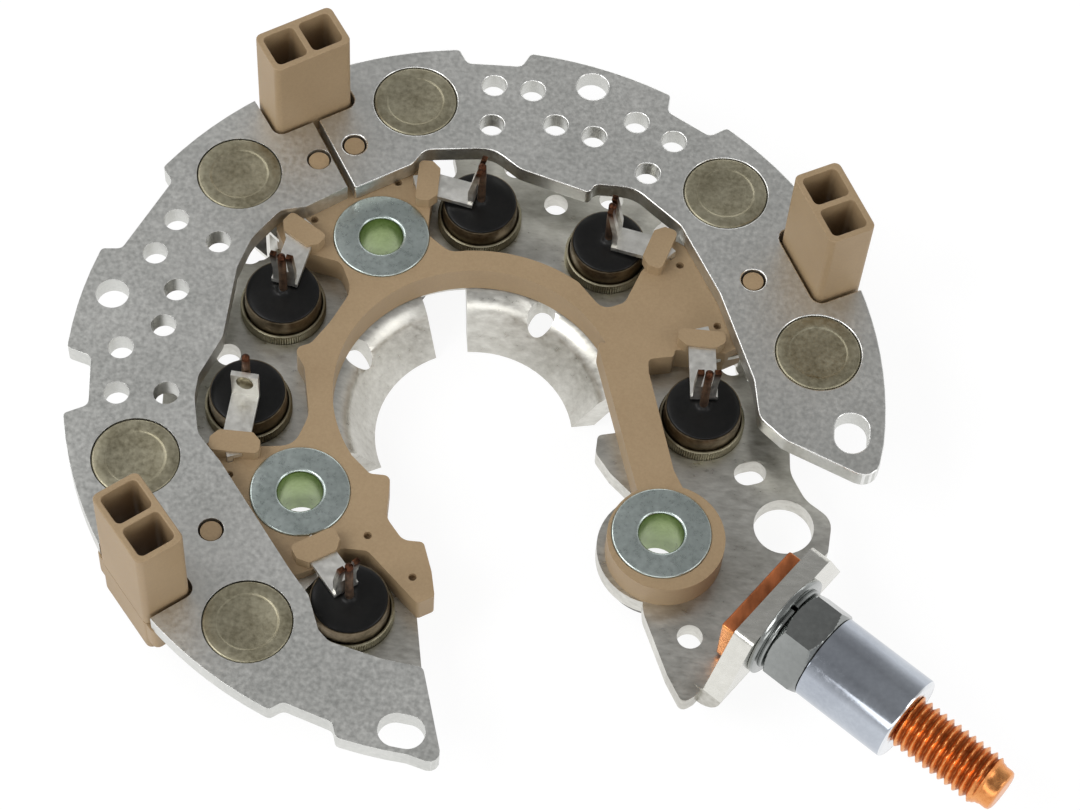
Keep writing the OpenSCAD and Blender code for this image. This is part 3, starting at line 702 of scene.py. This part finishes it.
# Hexagon cut by a cone at each end, with the sleeve behind it
def makeNut():
    flat = nut["across"] / 2
    corner = flat / math.cos(math.radians(30))
    bore, sleeve, end = nut["bore"], nut["sleeve"], nut["end"]
    foot, top = nut["face"], nut["face"] + nut["length"]
    levels = [0, 0.08, 0.16, 0.26, 0.38, 0.5, 0.64, 0.8, nut["chamfer"]]
    hexagon = [foot + level for level in levels] + [top - level for level in reversed(levels)]
    rings = [(bore, foot, 1), (flat - 0.35, foot, 1)] + [(corner, height) for height in hexagon]
    rings += [
        (sleeve + 0.02, top, 2), (sleeve, top + 0.12, 2), (sleeve, end - 0.5, 2),
        (sleeve - 0.05, end - 0.3, 1), (sleeve - 0.2, end - 0.1, 1), (sleeve - 0.45, end, 1),
        (bore + 0.6, end, 1), (bore + 0.2, end - 0.15, 1), (bore, end - 0.5, 1)
    ]

    def shape(index, step, turn):
        if index < 2 or index >= 2 + len(hexagon):
            return 0
        height = hexagon[index - 2]
        side = flat / math.cos((turn + math.radians(30)) % math.radians(60) - math.radians(30))
        depth = min(height - foot, top - height)
        return min(side, flat - nut["chamferIn"] + depth * nut["chamferSlope"]) - corner

    form = turned(rings, 180, shape)
    softShade(form, 24)
    form.transform(studFrame())
    # Faces painted 1 take the lighter copy of the zinc, a painted highlight
    paints = ["zincSteel", "zincPaintedHighlight", "sleeveZinc"]
    addPiece("sleeve_nut_body", toMesh(form, "nut"), paints, ["sleeve_nut"])


# Plain washer with a split spring washer on it
def makeWashers():
    face, bore = washers["face"], washers["bore"]
    wide, thick = washers["plain"]
    rings = [
        (bore, face), (wide - 0.2, face), (wide - 0.05, face + 0.08), (wide, face + 0.2),
        (wide, face + thick - 0.2), (wide - 0.06, face + thick - 0.06), (wide - 0.22, face + thick),
        (bore, face + thick)
    ]
    form = turned(rings, 120)
    small, thin = washers["spring"]
    low = face + thick + washers["apart"]
    split = turned([(bore - 0.1, low), (small, low), (small, low + thin), (bore - 0.1, low + thin)], 120)
    slit = math.asin(washers["slit"] / 2 / small)
    gone = []
    for patch in split.faces:
        middle = patch.calc_center_median()
        if abs(math.atan2(middle.y, -middle.x)) < slit:
            gone.append(patch)
    bmesh.ops.delete(split, geom=gone, context="FACES")
    bmesh.ops.holes_fill(split, edges=[edge for edge in split.edges if edge.is_boundary], sides=8)
    bmesh.ops.bevel(split, geom=sharpEdges(split), offset=0.08 * mm, segments=2, affect="EDGES", profile=0.5)
    spring = toMesh(split, "spring")
    form.from_mesh(spring)
    softShade(form, 40)
    form.transform(studFrame())
    addPiece("stud_washer_body", toMesh(form, "washers"), ["zincSteel"], ["stud_washer"])


makeNut()
makeWashers()
print("stud done")


# Floor and lights

studio = {
    "floorLevel": -0.5, "floorHalf": 3, "floorGlow": 1.08, "floorShare": 0.82, "floorColor": (0.86, 0.86, 0.86),
    "sky": [(0.0, 0.5), (0.5, 1.0), (0.58, 0.8), (0.75, 0.42), (0.93, 0.3), (1.0, 0.36)],
    "lamps": [
        ("lampKey", (-0.5, -0.25, 0.6), (0.4, 0.4), 2.5),
        ("lampLeft", (-0.6, 0.3, 0.65), (0.35, 0.35), 1.2),
        ("lampSide", (0.6, -0.2, 0.42), (0.3, 0.5), 1.0),
        ("lampFront", (0.05, -0.8, 0.42), (1.0, 0.25), 1.7),
        ("lampBack", (0.05, 0.8, 0.3), (0.6, 0.2), 0.6),
    ],
}


def makeFloor():
    half, level = studio["floorHalf"], studio["floorLevel"] * mm
    mesh = bpy.data.meshes.new("floor")
    corners = [(-half, -half, level), (half, -half, level), (half, half, level), (-half, half, level)]
    mesh.from_pydata(corners, [], [(0, 1, 2, 3)])
    floor = bpy.data.objects.new("floor", mesh)
    bpy.context.scene.collection.objects.link(floor)
    mat, nodesOf, links = newMaterial("floorPaper")
    shader = nodesOf["Principled BSDF"]
    shader.inputs["Base Color"].default_value = (*studio["floorColor"], 1)
    shader.inputs["Roughness"].default_value = 0.8
    shader.inputs["Specular IOR Level"].default_value = 0.1
    path = nodesOf.new("ShaderNodeLightPath")
    seen = nodesOf.new("ShaderNodeMath")
    seen.operation = "MAXIMUM"
    links.new(path.outputs["Is Camera Ray"], seen.inputs[0])
    links.new(path.outputs["Is Glossy Ray"], seen.inputs[1])
    through = nodesOf.new("ShaderNodeMath")
    through.operation = "MAXIMUM"
    links.new(seen.outputs[0], through.inputs[0])
    links.new(path.outputs["Is Transmission Ray"], through.inputs[1])
    glow = nodesOf.new("ShaderNodeEmission")
    glow.inputs["Color"].default_value = (1, 1, 1, 1)
    glow.inputs["Strength"].default_value = studio["floorGlow"]
    share = nodesOf.new("ShaderNodeMath")
    share.operation = "MULTIPLY"
    share.inputs[1].default_value = studio["floorShare"]
    links.new(through.outputs[0], share.inputs[0])
    mix = nodesOf.new("ShaderNodeMixShader")
    links.new(share.outputs[0], mix.inputs["Fac"])
    links.new(shader.outputs["BSDF"], mix.inputs[1])
    links.new(glow.outputs["Emission"], mix.inputs[2])
    links.new(mix.outputs["Shader"], nodesOf["Material Output"].inputs["Surface"])
    mesh.materials.append(mat)


def makeSky():
    world = bpy.data.worlds.new("sky")
    world.use_nodes = True
    nodesOf, links = world.node_tree.nodes, world.node_tree.links
    coords = nodesOf.new("ShaderNodeTexCoord")
    split = nodesOf.new("ShaderNodeSeparateXYZ")
    links.new(coords.outputs["Generated"], split.inputs["Vector"])
    height = rangeOn(nodesOf, links, split.outputs["Z"], 0.0, 1.0, -1.0, 1.0)
    color = rampOn(nodesOf, links, height, [(at, (level, level, level)) for at, level in studio["sky"]])
    links.new(color, nodesOf["Background"].inputs["Color"])
    nodesOf["Background"].inputs["Strength"].default_value = 1.0
    bpy.context.scene.world = world


def addLamp(name, place, size, power, target=(0.01, 0, 0.01)):
    data = bpy.data.lights.new(name, "AREA")
    data.shape = "RECTANGLE"
    data.size = size[0]
    data.size_y = size[1]
    data.energy = power
    obj = bpy.data.objects.new(name, data)
    obj.location = place
    obj.rotation_euler = (Vector(target) - Vector(place)).to_track_quat("-Z", "Y").to_euler()
    bpy.context.scene.collection.objects.link(obj)


makeFloor()
makeSky()
for lamp in studio["lamps"]:
    addLamp(*lamp)
bpy.context.scene.view_settings.view_transform = "Standard"
print("stage done")
